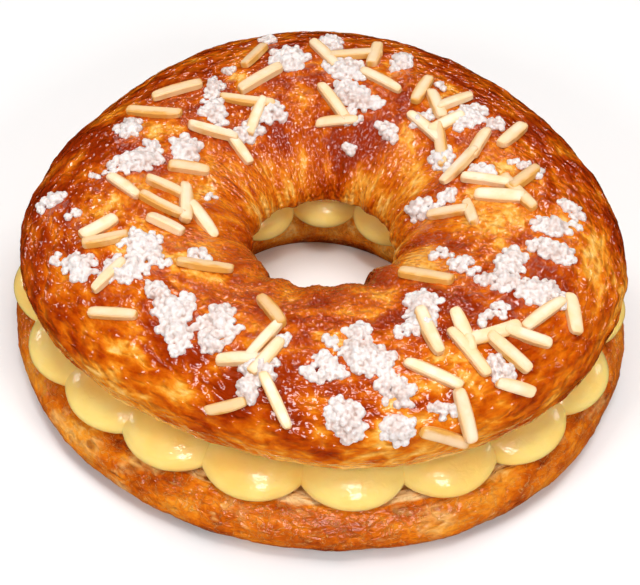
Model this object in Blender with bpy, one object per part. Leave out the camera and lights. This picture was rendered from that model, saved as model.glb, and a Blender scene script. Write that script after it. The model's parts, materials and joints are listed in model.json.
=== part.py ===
# King cake: a ring of brioche split in two, filled with piped custard and
# topped with almond batons and clumps of pearl sugar.
# Metres, +Z up. The ring's axis is Z and it stands on its flat underside at z = 0.
# Angles run anticlockwise from +X, and the front of the ring faces -Y.

import math
import random

import bmesh
import bpy
from mathutils import Matrix, Vector, noise

MM = 0.001
FIT_GAP = 0.3 * MM            # between one layer and the next

# Bottom slice: a low ring that flares out from its foot and is cut flat on top.
BASE_HEIGHT = 24.2 * MM
BASE_FOOT_RADIUS = 110.5 * MM
BASE_WIDEST_RADIUS = 135 * MM
BASE_RIM_RADIUS = 121.5 * MM    # outer edge of the cut face, above the rounded side
BASE_HOLE_RADIUS = 49 * MM
BASE_HOLE_FOOT_RADIUS = 51 * MM
BASE_COLUMNS = 48             # faces round the ring

# Top slice: a tall, round-shouldered ring, cut flat underneath.
BUN_UNDERSIDE = 43 * MM
BUN_RIM_RADIUS = 114.6 * MM   # outer edge of the cut face
BUN_WIDEST_RADIUS = 126.3 * MM
BUN_WIDEST_HEIGHT = 63.5 * MM
BUN_CREST_RADIUS = 86 * MM
BUN_CREST_HEIGHT = 83.4 * MM
BUN_THROAT_RADIUS = 31.8 * MM  # narrowest part of the hole
BUN_THROAT_HEIGHT = 50.8 * MM
BUN_HOLE_RIM_RADIUS = 45.7 * MM  # inner edge of the cut face
BUN_CENTRE = (-0.1 * MM, -0.2 * MM)
BUN_COLUMNS = 66
ROUNDNESS = 0.55              # handle length of a quarter-round curve, as a share

# Unevenness of the dough: (waves round the ring, cosine share, sine share).
BASE_WAVES = ((2, 0.0243, -0.011), (4, -0.0023, 0.0026))
BASE_RIM_WAVES = ((1, 0.022, 0.006),)
BUN_WAVES = ((2, 0.0233, -0.0234), (3, -0.0036, -0.0285), (4, 0.0083, 0.0073),
             (5, -0.0017, -0.0033))
BUN_RISE_WAVES = ((1, 0.0972, -0.132), (2, 0.0229, 0.0061), (3, -0.0374, -0.0039))
LUMP_SPACING = 26 * MM
LUMP_DEPTH = 1.2 * MM
FOLD_COUNTS = (7, 11, 17)     # gathers that run down into the hole
FOLD_DEPTH = 2.2 * MM
CUT_FADE = 12 * MM            # height over which the relief dies out at the cut face

# Custard: piped balls round the outside and round the hole, on a flat bed. A ball rests
# on the lower slice, flattened against it.
OUTER_BALLS = 18
OUTER_BALL_RADIUS = 24.6 * MM
OUTER_REACH = 130.4 * MM      # how far from the axis an outer ball comes
OUTER_START = math.radians(-81)
INNER_BALLS = 10
INNER_BALL_RADIUS = 16.8 * MM
INNER_REACH = 35.2 * MM       # how near the axis an inner ball comes
INNER_START = math.radians(91)
OUTER_WAVES = ((1, -0.004, 0), (2, 0.064, -0.022))
# How far a ball is turned from even spacing, in radians.
OUTER_SHIFTS = ((1, -0.015, 0.008), (2, 0.022, 0.004), (3, -0.059, 0.011))
BALL_MIDDLE = 0.26            # height of a ball's middle, as a share of the gap
BALL_HALF_HEIGHT = 0.58       # and half its height, before it is flattened
BALL_SIDES = 14
BALL_RINGS = 6
BALL_UNEVENNESS = 0.02
BALL_SEED = 3
BED_COLUMNS = 36
BED_OVER_BALLS = 0.15 * MM    # keeps the flat of the bed and of the balls apart

# Toppings. A drift is (angle in degrees, radius in mm, half its spread in degrees, half
# its width in mm, almonds, sugar clumps, nuggets in its largest clump, seed). Its largest
# clump lies in its middle, and the rest fall at random round that.
DRIFTS = (
    (-84, 122, 23, 4, 2, 3, 22, 30629),
    (-78, 96, 5, 15, 0, 3, 24, 16571),
    (-88, 100, 4, 13, 0, 4, 8, 31480),
    (-56, 72, 13, 35, 4, 4, 14, 2785),
    (-51, 110, 6, 20, 4, 1, 8, 28611),
    (-30, 94, 15, 19, 3, 3, 18, 28912),
    (-26, 78, 8, 26, 0, 3, 16, 8458),
    (-16, 90, 16, 13, 0, 4, 14, 32805),
    (8, 44, 17, 33, 4, 2, 10, 6182),
    (16, 72, 14, 27, 5, 3, 7, 2680),
    (41, 89, 10, 35, 2, 3, 18, 16447),
    (71, 103, 23, 38, 6, 3, 10, 18794),
    (86, 88, 15, 24, 1, 5, 22, 18370),
    (62, 58, 30, 14, 2, 3, 6, 35744),
    (102, 94, 19, 34, 5, 3, 18, 33080),
    (132, 79, 14, 22, 4, 4, 14, 33710),
    (167, 84, 16, 24, 3, 5, 20, 32635),
    (-178, 109, 16, 20, 2, 2, 6, 38546),
    (172, 50, 30, 19, 4, 1, 2, 19249),
    (-151, 89, 13, 28, 2, 6, 20, 3878),
    (-132, 94, 10, 18, 1, 5, 14, 28515),
    (-120, 91, 19, 19, 4, 3, 16, 22022),
    (-104, 108, 7, 17, 2, 3, 14, 39485),
)
ROOM = 7 * MM                 # least distance between the middles of two pieces
TRIES = 12
CLUMP_SHRINK = 1.3            # how fast the clumps of a drift get smaller
ALMOND_SIZE = (21.5 * MM, 5.4 * MM, 4.2 * MM)
ALMOND_LENGTHS = (0.8, 1.2)   # shortest and longest, as shares of that
ALMOND_SEED = 5
ALMOND_TIP = 0.62             # size of its ends, as a share of its middle
ALMOND_RISE = 0.25            # height of its middle over the crust, as a share of itself
NUGGET_RADIUS = 2.3 * MM
NUGGETS_PER_LUMP = 12         # nuggets that one coarse lump stands for
LUMP_GROWTH = 0.42            # a lump's size grows with this power of its nuggets

# Finishes: base colour (linear RGB), roughness.
CRUST = ((0.55, 0.20, 0.045), 0.35)
CRUMB = ((0.62, 0.27, 0.08), 0.6)
CUSTARD = ((0.87, 0.62, 0.19), 0.25)


# Dough: the even section of each ring, and what makes it uneven.

def bezier(handles, share):
    a, b, c, d = handles
    rest = 1 - share
    return (a * rest ** 3 + b * (3 * rest ** 2 * share)
            + c * (3 * rest * share ** 2) + d * share ** 3)


def quarter_round(start, end, leaves_upright):
    """Handles of a rounded corner that leaves start upright or level."""
    across, up = (end - start) * ROUNDNESS
    if leaves_upright:
        return start, start + Vector((0, up)), end - Vector((across, 0)), end
    return start, start + Vector((across, 0)), end - Vector((0, up)), end


def bun_section():
    """Curves of the top slice's crust, from its outer rim over the crest into the hole."""
    rim = Vector((BUN_RIM_RADIUS, BUN_UNDERSIDE))
    widest = Vector((BUN_WIDEST_RADIUS, BUN_WIDEST_HEIGHT))
    crest = Vector((BUN_CREST_RADIUS, BUN_CREST_HEIGHT))
    throat = Vector((BUN_THROAT_RADIUS, BUN_THROAT_HEIGHT))
    hole_rim = Vector((BUN_HOLE_RIM_RADIUS, BUN_UNDERSIDE))
    flare = widest - rim
    side = (rim, rim + Vector((flare.x * 0.7, flare.y * 0.3)),
            widest - Vector((0, flare.y * 0.4)), widest)
    drop = throat.y - hole_rim.y
    lip = (throat, throat - Vector((0, drop * 0.6)),
           hole_rim - Vector((drop * 0.4, 0)), hole_rim)
    return (side, quarter_round(widest, crest, True),
            quarter_round(crest, throat, False), lip)


BUN_CURVES = bun_section()
STATIONS = len(BUN_CURVES)    # a station runs from 0 at the outer rim to 4 at the hole's rim


def on_section(station):
    curve = min(int(station), STATIONS - 1)
    return bezier(BUN_CURVES[curve], station - curve)


def waves(table, angle):
    return 1 + sum(cosine * math.cos(count * angle) + sine * math.sin(count * angle)
                   for count, cosine, sine in table)


def smooth(share):
    share = min(max(share, 0), 1)
    return share * share * (3 - 2 * share)


def bun_point(angle, station):
    """Point on the real crust, with the rise, lumps and gathers of the dough."""
    step = 0.01
    here = on_section(station)
    along = on_section(min(station + step, STATIONS)) - on_section(max(station - step, 0))
    outward = Vector((along.y, -along.x)).normalized()
    fade = smooth((here.y - BUN_UNDERSIDE) / CUT_FADE)
    spot = Vector((here.x * math.cos(angle), here.x * math.sin(angle), here.y))
    lump = noise.noise(spot / LUMP_SPACING) * LUMP_DEPTH
    gathers = sum(math.sin(count * angle + count) for count in FOLD_COUNTS) / len(FOLD_COUNTS)
    fold = gathers * FOLD_DEPTH * smooth((station - 2) * 1.4)
    here = here + outward * ((lump + fold) * fade)
    share = smooth((here.x - BUN_THROAT_RADIUS) / (BUN_CREST_RADIUS - BUN_THROAT_RADIUS))
    radius = here.x * (1 + (waves(BUN_WAVES, angle) - 1) * share)
    height = BUN_UNDERSIDE + (here.y - BUN_UNDERSIDE) * waves(BUN_RISE_WAVES, angle)
    return Vector((BUN_CENTRE[0] + radius * math.cos(angle),
                   BUN_CENTRE[1] + radius * math.sin(angle), height))


def station_at(radius):
    """Station on the upper side of the crust at a distance from the axis."""
    low, high = 1.0, 3.0
    for _ in range(30):
        middle = (low + high) / 2
        if on_section(middle).x > radius:
            low = middle
        else:
            high = middle
    return low


def crust_frame(angle, radius):
    """Placing matrix of a topping: on the crust, with its Z straight out of it."""
    station = station_at(radius)
    turn, step = 0.02, 0.04
    spot = bun_point(angle, station)
    round_ring = bun_point(angle + turn, station) - bun_point(angle - turn, station)
    inward = bun_point(angle, station + step) - bun_point(angle, station - step)
    out = round_ring.cross(inward).normalized()
    side = round_ring.normalized()
    frame = Matrix((side, out.cross(side), out)).transposed().to_4x4()
    frame.translation = spot
    return frame


# Toppings: where each almond and each clump of sugar lies.

def lay_drift(drift, taken):
    """Clumps as (angle, radius, nuggets) and almonds as (angle, radius, heading)."""
    angle, radius, spread, width, almond_count, clump_count, largest, seed = drift
    draw = random.Random(seed)
    clumps, almonds = [], []
    for index in range(clump_count + almond_count):
        for _ in range(TRIES):
            turn, reach = math.radians(angle), radius * MM
            if index:
                turn = math.radians(angle + draw.uniform(-spread, spread))
                reach = (radius + draw.uniform(-width, width)) * MM
            spot = Vector((reach * math.cos(turn), reach * math.sin(turn)))
            if all((spot - other).length >= ROOM for other in taken):
                break
        taken.append(spot)
        if index < clump_count:
            size = largest * (1 - index / clump_count) ** CLUMP_SHRINK
            clumps.append((turn, reach, max(2, round(size))))
        else:
            almonds.append((turn, reach, draw.uniform(0, math.pi)))
    return clumps, almonds


def scatter():
    clumps, almonds, taken = [], [], []
    for drift in DRIFTS:
        more_clumps, more_almonds = lay_drift(drift, taken)
        clumps += more_clumps
        almonds += more_almonds
    return clumps, almonds


def almond(name, place, length):
    """Baton with tapered ends."""
    mesh = bmesh.new()
    bmesh.ops.create_cube(mesh, size=1)
    long_edges = [edge for edge in mesh.edges
                  if abs(edge.verts[0].co.x - edge.verts[1].co.x) > 0.5]
    bmesh.ops.subdivide_edges(mesh, edges=long_edges, cuts=2)
    for vert in mesh.verts:
        if abs(vert.co.x) > 0.4:
            vert.co.y *= ALMOND_TIP
            vert.co.z *= ALMOND_TIP
        else:
            vert.co.x *= 2.2
    bmesh.ops.scale(mesh, vec=(length, *ALMOND_SIZE[1:]), verts=mesh.verts)
    rise = ALMOND_SIZE[2] * ALMOND_RISE
    return placed(name, mesh, place @ Matrix.Translation((0, 0, rise)))


def lump(name, place, radius):
    mesh = bmesh.new()
    bmesh.ops.create_icosphere(mesh, subdivisions=1, radius=radius)
    return placed(name, mesh, place)


def placed(name, mesh, place):
    data = bpy.data.meshes.new(name)
    mesh.to_mesh(data)
    mesh.free()
    piece = bpy.data.objects.new(name, data)
    piece.matrix_world = place
    return piece


def toppings():
    """Coarse almonds and lumps of sugar, each its own object."""
    golden = math.pi * (3 - math.sqrt(5))
    clumps, almonds = scatter()
    draw = random.Random(ALMOND_SEED)
    pieces = []
    for index, (angle, radius, heading) in enumerate(almonds):
        place = crust_frame(angle, radius) @ Matrix.Rotation(heading, 4, 'Z')
        length = ALMOND_SIZE[0] * draw.uniform(*ALMOND_LENGTHS)
        pieces.append(almond(f"almond_{index}", place, length))
    for index, (angle, radius, nuggets) in enumerate(clumps):
        count = max(1, round(nuggets / NUGGETS_PER_LUMP))
        size = NUGGET_RADIUS * (nuggets / count) ** LUMP_GROWTH
        for item in range(count):
            reach = size * 1.15 * math.sqrt(item + 0.5 * (count > 1))
            turn = golden * item + index
            shift = Vector((reach * math.cos(turn), reach * math.sin(turn), 0))
            spot = crust_frame(angle, radius) @ shift
            near = math.hypot(spot.x - BUN_CENTRE[0], spot.y - BUN_CENTRE[1])
            bearing = math.atan2(spot.y - BUN_CENTRE[1], spot.x - BUN_CENTRE[0])
            place = crust_frame(bearing, near) @ Matrix.Rotation(turn, 4, (1, 2, 3))
            pieces.append(lump(f"sugar_{index}_{item}", place, size))
    return pieces


# Building blocks.

def material(name, finish):
    colour, roughness = finish
    new = bpy.data.materials.new(name)
    new.use_nodes = True
    shader = new.node_tree.nodes["Principled BSDF"]
    shader.inputs["Base Color"].default_value = (*colour, 1)
    shader.inputs["Roughness"].default_value = roughness
    shader.inputs["Metallic"].default_value = 0.0
    return new


def ring(name, columns, rows, place_point):
    """Torus whose points go where place_point(angle, row) says; rows run up the outside."""
    bpy.ops.mesh.primitive_torus_add(major_segments=columns, minor_segments=rows)
    new = bpy.context.object
    new.name = name
    for index, vert in enumerate(new.data.vertices):
        column, row = divmod(index, rows)
        vert.co = place_point(2 * math.pi * column / columns, row)
    return new


def fuse(target, pieces, solver='EXACT'):
    """Union of the target with the pieces, which are used up."""
    group = bpy.data.collections.new(target.name + "_pieces")
    bpy.context.scene.collection.children.link(group)
    for piece in pieces:
        for owner in list(piece.users_collection):
            owner.objects.unlink(piece)
        group.objects.link(piece)
    union = target.modifiers.new("union", 'BOOLEAN')
    union.operation = 'UNION'
    union.operand_type = 'COLLECTION'
    union.collection = group
    union.solver = solver
    bpy.context.view_layer.objects.active = target
    bpy.ops.object.modifier_apply(modifier=union.name)
    for piece in list(group.objects):
        bpy.data.objects.remove(piece)
    bpy.data.collections.remove(group)
    keep_largest_shell(target)


def keep_largest_shell(target):
    """Fill the small hollows that fusing seals, and drop loose scraps."""
    mesh = bmesh.new()
    mesh.from_mesh(target.data)
    left = set(mesh.verts)
    shells = []
    while left:
        shell, edge = set(), [left.pop()]
        while edge:
            vert = edge.pop()
            shell.add(vert)
            for link in vert.link_edges:
                other = link.other_vert(vert)
                if other in left:
                    left.remove(other)
                    edge.append(other)
        shells.append(shell)
    shells.sort(key=len)
    for shell in shells[:-1]:
        bmesh.ops.delete(mesh, geom=list(shell), context='VERTS')
    mesh.to_mesh(target.data)
    mesh.free()


def finish(piece, group, surface, sharp_degrees):
    for owner in list(piece.users_collection):
        owner.objects.unlink(piece)
    group.objects.link(piece)
    piece.data.materials.clear()
    piece.data.materials.append(surface)
    piece.data.shade_smooth()
    piece.data.set_sharp_from_angle(angle=math.radians(sharp_degrees))


# The three layers.

def base_outline(angle):
    """Closed section of the bottom slice: side, cut face, hole and underside."""
    widest_height = BASE_HEIGHT / 2
    rim = BASE_RIM_RADIUS * waves(BASE_RIM_WAVES, angle)
    side = [Vector(point) for point in (
        (BASE_FOOT_RADIUS, 0), (BASE_FOOT_RADIUS + 6 * MM, 0),
        (BASE_WIDEST_RADIUS, BASE_HEIGHT * 0.25), (BASE_WIDEST_RADIUS, widest_height))]
    edge = [Vector(point) for point in (
        (BASE_WIDEST_RADIUS, widest_height), (BASE_WIDEST_RADIUS, BASE_HEIGHT * 0.78),
        (rim + 6.5 * MM, BASE_HEIGHT * 0.985), (rim, BASE_HEIGHT))]
    outline = [bezier(side, index / 4) for index in range(4)]
    outline += [bezier(edge, index / 4) for index in range(5)]
    for share in (0.33, 0.67, 1):
        across = rim + (BASE_HOLE_RADIUS - rim) * share
        outline.append(Vector((across, BASE_HEIGHT)))
    outline.append(Vector((BASE_HOLE_RADIUS - MM, BASE_HEIGHT * 0.6)))
    outline.append(Vector((BASE_HOLE_RADIUS, BASE_HEIGHT * 0.2)))
    outline.append(Vector((BASE_HOLE_FOOT_RADIUS, 0)))
    outline.append(Vector(((BASE_HOLE_FOOT_RADIUS + BASE_FOOT_RADIUS) / 2, 0)))
    return outline


def base_slice():
    def place_point(angle, row):
        point = base_outline(angle)[row]
        radius = point.x * waves(BASE_WAVES, angle)
        return Vector((radius * math.cos(angle), radius * math.sin(angle), point.y))

    return ring("bottom_slice", BASE_COLUMNS, len(base_outline(0)), place_point)


def custard_bottom():
    return BASE_HEIGHT + FIT_GAP


def custard_gap():
    return BUN_UNDERSIDE - FIT_GAP - custard_bottom()


def outer_turn(angle):
    """Angle at which a ball lies that even spacing would put at another."""
    return angle + waves(OUTER_SHIFTS, angle) - 1


def custard_ball(name, angle, distance, radius, draw):
    size = radius * (1 + draw.uniform(-BALL_UNEVENNESS, BALL_UNEVENNESS))
    middle = custard_gap() * BALL_MIDDLE
    mesh = bmesh.new()
    bmesh.ops.create_uvsphere(mesh, u_segments=BALL_SIDES, v_segments=BALL_RINGS, radius=1)
    bmesh.ops.scale(mesh, vec=(size, size, custard_gap() * BALL_HALF_HEIGHT),
                    verts=mesh.verts)
    for vert in mesh.verts:
        vert.co.z = max(vert.co.z, BED_OVER_BALLS - middle)
    spot = (distance * math.cos(angle), distance * math.sin(angle), custard_bottom() + middle)
    turn = draw.uniform(0, math.pi)
    return placed(name, mesh, Matrix.Translation(spot) @ Matrix.Rotation(turn, 4, 'Z'))


def custard_filling():
    draw = random.Random(BALL_SEED)
    low, high = custard_bottom(), custard_bottom() + custard_gap()
    outer_middle = OUTER_REACH - OUTER_BALL_RADIUS
    inner_middle = INNER_REACH + INNER_BALL_RADIUS

    def place_point(angle, row):
        outer, height = ((True, low), (True, high), (False, high), (False, low))[row]
        radius = outer_middle * waves(OUTER_WAVES, angle) if outer else inner_middle
        turn = outer_turn(angle)
        return Vector((radius * math.cos(turn), radius * math.sin(turn), height))

    bed = ring("custard", BED_COLUMNS, 4, place_point)
    balls = []
    for index in range(OUTER_BALLS):
        angle = OUTER_START + 2 * math.pi * index / OUTER_BALLS
        balls.append(custard_ball(f"outer_{index}", outer_turn(angle),
                                  outer_middle * waves(OUTER_WAVES, angle),
                                  OUTER_BALL_RADIUS, draw))
    for index in range(INNER_BALLS):
        angle = INNER_START + 2 * math.pi * index / INNER_BALLS
        balls.append(custard_ball(f"inner_{index}", angle, inner_middle,
                                  INNER_BALL_RADIUS, draw))
    fuse(bed, balls)
    return bed


def top_slice():
    stations = [index / 4 for index in range(4)]
    stations += [1 + index / 6 for index in range(6)]
    stations += [2 + index / 7 for index in range(7)]
    stations += [3, 3.5, 4]
    shares = (0.67, 0.33)     # loops across the cut face, outwards from the hole's rim

    def place_point(angle, row):
        if row < len(stations):
            return bun_point(angle, stations[row])
        share = shares[row - len(stations)]
        return bun_point(angle, STATIONS) * share + bun_point(angle, 0) * (1 - share)

    bun = ring("top_slice", BUN_COLUMNS, len(stations) + len(shares), place_point)
    fuse(bun, toppings())
    return bun


def main():
    for old in list(bpy.data.objects):
        bpy.data.objects.remove(old)
    cake = bpy.data.collections.new("king_cake")
    bpy.context.scene.collection.children.link(cake)
    finish(base_slice(), cake, material("baked_crumb", CRUMB), 40)
    finish(custard_filling(), cake, material("custard", CUSTARD), 30)
    finish(top_slice(), cake, material("glazed_crust", CRUST), 40)


main()
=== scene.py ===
# King cake: a glazed brioche ring, split and filled with piped custard, with
# almond batons and pearl sugar on top.
# Metres, +Z up, the front of the ring faces -Y. Sizes are written as so many * mm.

import json
import math
import random

import bmesh
import bpy
from mathutils import Matrix, Vector, noise

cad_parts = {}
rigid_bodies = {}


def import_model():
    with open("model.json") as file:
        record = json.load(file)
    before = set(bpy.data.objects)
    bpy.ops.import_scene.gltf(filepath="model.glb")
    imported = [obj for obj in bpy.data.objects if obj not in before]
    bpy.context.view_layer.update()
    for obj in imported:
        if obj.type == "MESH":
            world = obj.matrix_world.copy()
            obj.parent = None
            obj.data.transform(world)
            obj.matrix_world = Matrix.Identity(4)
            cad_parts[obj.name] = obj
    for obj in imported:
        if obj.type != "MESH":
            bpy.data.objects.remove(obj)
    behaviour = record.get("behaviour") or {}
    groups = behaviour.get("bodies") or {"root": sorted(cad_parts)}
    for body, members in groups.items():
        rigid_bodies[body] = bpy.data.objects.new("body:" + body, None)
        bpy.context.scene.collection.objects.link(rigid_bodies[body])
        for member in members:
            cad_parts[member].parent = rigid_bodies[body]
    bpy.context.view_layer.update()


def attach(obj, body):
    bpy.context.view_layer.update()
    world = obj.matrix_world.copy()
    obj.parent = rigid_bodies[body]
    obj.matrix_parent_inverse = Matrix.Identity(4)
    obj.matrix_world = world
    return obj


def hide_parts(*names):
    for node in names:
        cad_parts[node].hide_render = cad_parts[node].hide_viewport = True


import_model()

mm = 0.001


# Tools that every piece uses.

def linear(hexColour):
    # sRGB hex to linear RGBA
    parts = [int(hexColour[i:i + 2], 16) / 255 for i in (1, 3, 5)]
    parts = [c / 12.92 if c <= 0.04045 else ((c + 0.055) / 1.055) ** 2.4 for c in parts]
    return (*parts, 1.0)


def fit(node, settings=None, links=None):
    # settings go to sockets or to the node itself; links bring in other nodes' outputs,
    # and a node by itself stands for its first output
    for key, value in (settings or {}).items():
        if isinstance(key, int) or key in node.inputs:
            node.inputs[key].default_value = value
        else:
            setattr(node, key, value)
    for key, source in (links or {}).items():
        output = source.outputs[0] if hasattr(source, "outputs") else source
        node.id_data.links.new(output, node.inputs[key])


def addNode(tree, kind, settings=None, links=None, ramp=None):
    node = tree.nodes.new("ShaderNode" + kind)
    fit(node, settings, links)
    if ramp:
        stops = node.color_ramp.elements
        while len(stops) < len(ramp):
            stops.new(1.0)
        for stop, (position, colour) in zip(stops, ramp):
            stop.position = position
            stop.color = linear(colour)
    return node


def newMaterial(name, *labels):
    # the material, its tree and shader, and the values kept on the mesh's points
    material = bpy.data.materials.new(name)
    material.use_nodes = True
    tree = material.node_tree
    kept = [addNode(tree, "Attribute", {"attribute_name": label}).outputs[
        "Vector" if label == "flow" else "Fac"] for label in labels]
    return material, tree, tree.nodes["Principled BSDF"], *kept


def addObject(name, data, place=Matrix()):
    item = bpy.data.objects.new(name, data)
    item.matrix_world = place
    bpy.context.scene.collection.objects.link(item)
    return item


def spaced(count, first=0):
    # angles of that many places round the ring, from the first one in degrees
    return [math.radians(first) + 2 * math.pi * index / count for index in range(count)]


def polar(angle, radius, height=0):
    return Vector((radius * math.cos(angle), radius * math.sin(angle), height))


def bezier(handles, share):
    a, b, c, d = handles
    rest = 1 - share
    return (a * rest ** 3 + b * (3 * rest ** 2 * share)
            + c * (3 * rest * share ** 2) + d * share ** 3)


def waves(table, angle):
    # table has the count of waves round the ring, and their cosine and sine parts
    return 1 + sum(cosine * math.cos(count * angle) + sine * math.sin(count * angle)
                   for count, cosine, sine in table)


def smooth(share):
    share = min(max(share, 0), 1)
    return share * share * (3 - 2 * share)


def fractal(spot, size, octaves=3):
    # layered noise, about -1 to 1, with lumps of that size
    roughness, finer = 1.0, 2.0
    return noise.fractal(spot / size, roughness, finer, octaves)


def ringMesh(name, rings, labels=()):
    # closed ring of quads; rings[column][row] is a point and its value for each label
    rows = len(rings[0])
    faces = []
    for column in range(len(rings)):
        after = (column + 1) % len(rings)
        for row in range(rows):
            up = (row + 1) % rows
            faces.append((column * rows + row, after * rows + row,
                          after * rows + up, column * rows + up))
    cells = [cell for ring in rings for cell in ring]
    mesh = bpy.data.meshes.new(name)
    mesh.from_pydata([cell[0] for cell in cells], [], faces)
    for item, label in enumerate(labels, 1):
        values = [cell[item] for cell in cells]
        if label == "flow":
            data = mesh.attributes.new(label, 'FLOAT_VECTOR', 'POINT').data
            data.foreach_set("vector", [x for value in values for x in value])
        else:
            mesh.attributes.new(label, 'FLOAT', 'POINT').data.foreach_set("value", values)
    mesh.shade_smooth()
    return addObject(name, mesh)


def reshape(piece, kind, **settings):
    # adds a modifier of that kind and applies it
    modifier = piece.modifiers.new(kind, kind)
    for key, value in settings.items():
        setattr(modifier, key, value)
    bpy.context.view_layer.objects.active = piece
    bpy.ops.object.modifier_apply(modifier=modifier.name)


def wear(piece, material, slot, *nodes):
    # finish of a piece and the CAD nodes it stands for; it rides on the root body, and slot is
    # not used
    piece.data.materials.clear()
    piece.data.materials.append(material)
    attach(piece, "root")
    if nodes:
        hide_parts(*nodes)


# Shape of the dough, with the same named sizes as in the solid part. "flow" is the place
# in the pattern: round a cylinder of flowRadius, and the length along the section.

base = {
    "height": 24.2 * mm, "footRadius": 110.5 * mm, "widestRadius": 135 * mm,
    "rimRadius": 121.5 * mm, "holeRadius": 49 * mm, "holeFootRadius": 51 * mm,
    "waves": ((2, 0.0243, -0.011), (4, -0.0023, 0.0026)),
    "rimWaves": ((1, 0.022, 0.006),),
    "footHandle": 6 * mm, "rimHandle": 6.5 * mm,
    "handleHeights": (0.25, 0.5, 0.78, 0.985),      # shares of the height, going up
    "holeBulge": 1 * mm,
    "columns": 720, "sideRows": 24, "edgeRows": 18, "cutRows": 34, "holeRows": 14,
    "footRows": 12, "cutSpacing": 1.5,
    "flowRadius": 100,      # in mm
    "stretch": 0.5, "middleRadius": 80 * mm,
    "relief": 0.8 * mm, "reliefSize": 7 * mm, "footFade": 3 * mm,
    "flakes": 0.45 * mm, "flakeSize": 3.5 * mm,
    "tear": 1.3 * mm, "tearSize": 7 * mm, "tearReach": 4 * mm, "tearSink": 0.6,
    "pores": 0.9 * mm, "poreSize": 4 * mm, "poreLevel": 0.6,
    "browning": 0.54, "patchiness": 0.38, "patchSize": 22 * mm, "mottle": 0.28,
    "footBrown": 0.42, "footReach": 10 * mm, "rimPale": 0.28,
    "holePale": 0.3, "holeReach": 60 * mm,
}
bun = {
    "underside": 43 * mm, "rimRadius": 114.6 * mm, "widestRadius": 126.3 * mm,
    "widestHeight": 63.5 * mm, "crestRadius": 86 * mm, "crestHeight": 83.4 * mm,
    "throatRadius": 31.8 * mm, "throatHeight": 50.8 * mm, "holeRimRadius": 45.7 * mm,
    "centre": (-0.1 * mm, -0.2 * mm), "roundness": 0.55,
    "sideHandles": (0.7, 0.3, 0.4), "lipHandles": (0.6, 0.4),
    "waves": ((2, 0.0233, -0.0234), (3, -0.0036, -0.0285), (4, 0.0083, 0.0073),
              (5, -0.0017, -0.0033)),
    "riseWaves": ((1, 0.0972, -0.132), (2, 0.0229, 0.0061), (3, -0.0374, -0.0039)),
    "lumpSpacing": 26 * mm, "lumpDepth": 1.2 * mm, "lumpFade": 12 * mm,
    "foldCounts": (7, 11, 17), "foldDepth": 2.2 * mm, "foldGrowth": 1.4,
    "columns": 540, "cutRows": 26, "rowStep": 1.05 * mm,
    "flowRadius": 80 * mm, "outerStretch": 0.6, "innerStretch": (0.5, 0.3),
    "inwardGrowth": 1.3, "reliefFade": 4 * mm,
    "wrinkleDepth": 0.70 * mm, "streakDepth": 0.50 * mm, "wrinkleSize": 5 * mm,
    "blisterDepth": 0.50 * mm, "blisterSize": 3.6 * mm,
    "ragDepth": 1.1 * mm, "ragSize": 6 * mm, "ragReach": 2.4,
    "poreDepth": 0.35 * mm, "poreSize": 3 * mm, "poreFade": 12,
    "cutTone": 0.2, "cutWidth": 68 * mm,
}


def quarterRound(start, end, leavesUpright):
    across, up = (end - start) * bun["roundness"]
    if leavesUpright:
        return start, start + Vector((0, up)), end - Vector((across, 0)), end
    return start, start + Vector((across, 0)), end - Vector((0, up)), end


def bunSection():
    rim, widest, crest, throat, holeRim = (
        Vector((bun[radius], bun[height])) for radius, height in (
            ("rimRadius", "underside"), ("widestRadius", "widestHeight"),
            ("crestRadius", "crestHeight"), ("throatRadius", "throatHeight"),
            ("holeRimRadius", "underside")))
    flare = widest - rim
    out, up, down = bun["sideHandles"]
    side = (rim, rim + Vector((flare.x * out, flare.y * up)),
            widest - Vector((0, flare.y * down)), widest)
    drop = throat.y - holeRim.y
    down, out = bun["lipHandles"]
    lip = (throat, throat - Vector((0, drop * down)),
           holeRim - Vector((drop * out, 0)), holeRim)
    return (side, quarterRound(widest, crest, True),
            quarterRound(crest, throat, False), lip)


# Stations along the section: 0 at the rim of the cut, 1 where the bun is widest, 2 on
# its crest, 3 in the throat of the hole and 4 at the hole's rim.
bunCurves = bunSection()
crestStation, lastStation = 2, len(bunCurves)


def onSection(station):
    curve = min(int(station), lastStation - 1)
    return bezier(bunCurves[curve], station - curve)


def sectionFrame(station):
    # point of the even section and the direction out of it
    step = 0.01
    along = (onSection(min(station + step, lastStation))
             - onSection(max(station - step, 0)))
    return onSection(station), Vector((along.y, -along.x)).normalized()


def bunPlace(angle, station, here, outward, relief=0.0):
    fade = smooth((here.y - bun["underside"]) / bun["lumpFade"])
    spot = polar(angle, here.x, here.y)
    lump = noise.noise(spot / bun["lumpSpacing"]) * bun["lumpDepth"]
    gathers = (sum(math.sin(count * angle + count) for count in bun["foldCounts"])
               / len(bun["foldCounts"]))
    fold = gathers * bun["foldDepth"] * smooth((station - crestStation) * bun["foldGrowth"])
    here = here + outward * ((lump + fold) * fade + relief)
    share = smooth((here.x - bun["throatRadius"])
                   / (bun["crestRadius"] - bun["throatRadius"]))
    radius = here.x * (1 + (waves(bun["waves"], angle) - 1) * share)
    height = bun["underside"] + (here.y - bun["underside"]) * waves(bun["riseWaves"], angle)
    return Vector((bun["centre"][0] + radius * math.cos(angle),
                   bun["centre"][1] + radius * math.sin(angle), height))


def bunPoint(angle, station):
    return bunPlace(angle, station, *sectionFrame(station))


def stationAt(radius):
    # halves the stretch between the widest place and the throat until it is that radius
    low, high, rounds = 1.0, 3.0, 30
    for _ in range(rounds):
        middle = (low + high) / 2
        if onSection(middle).x > radius:
            low = middle
        else:
            high = middle
    return low


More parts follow.
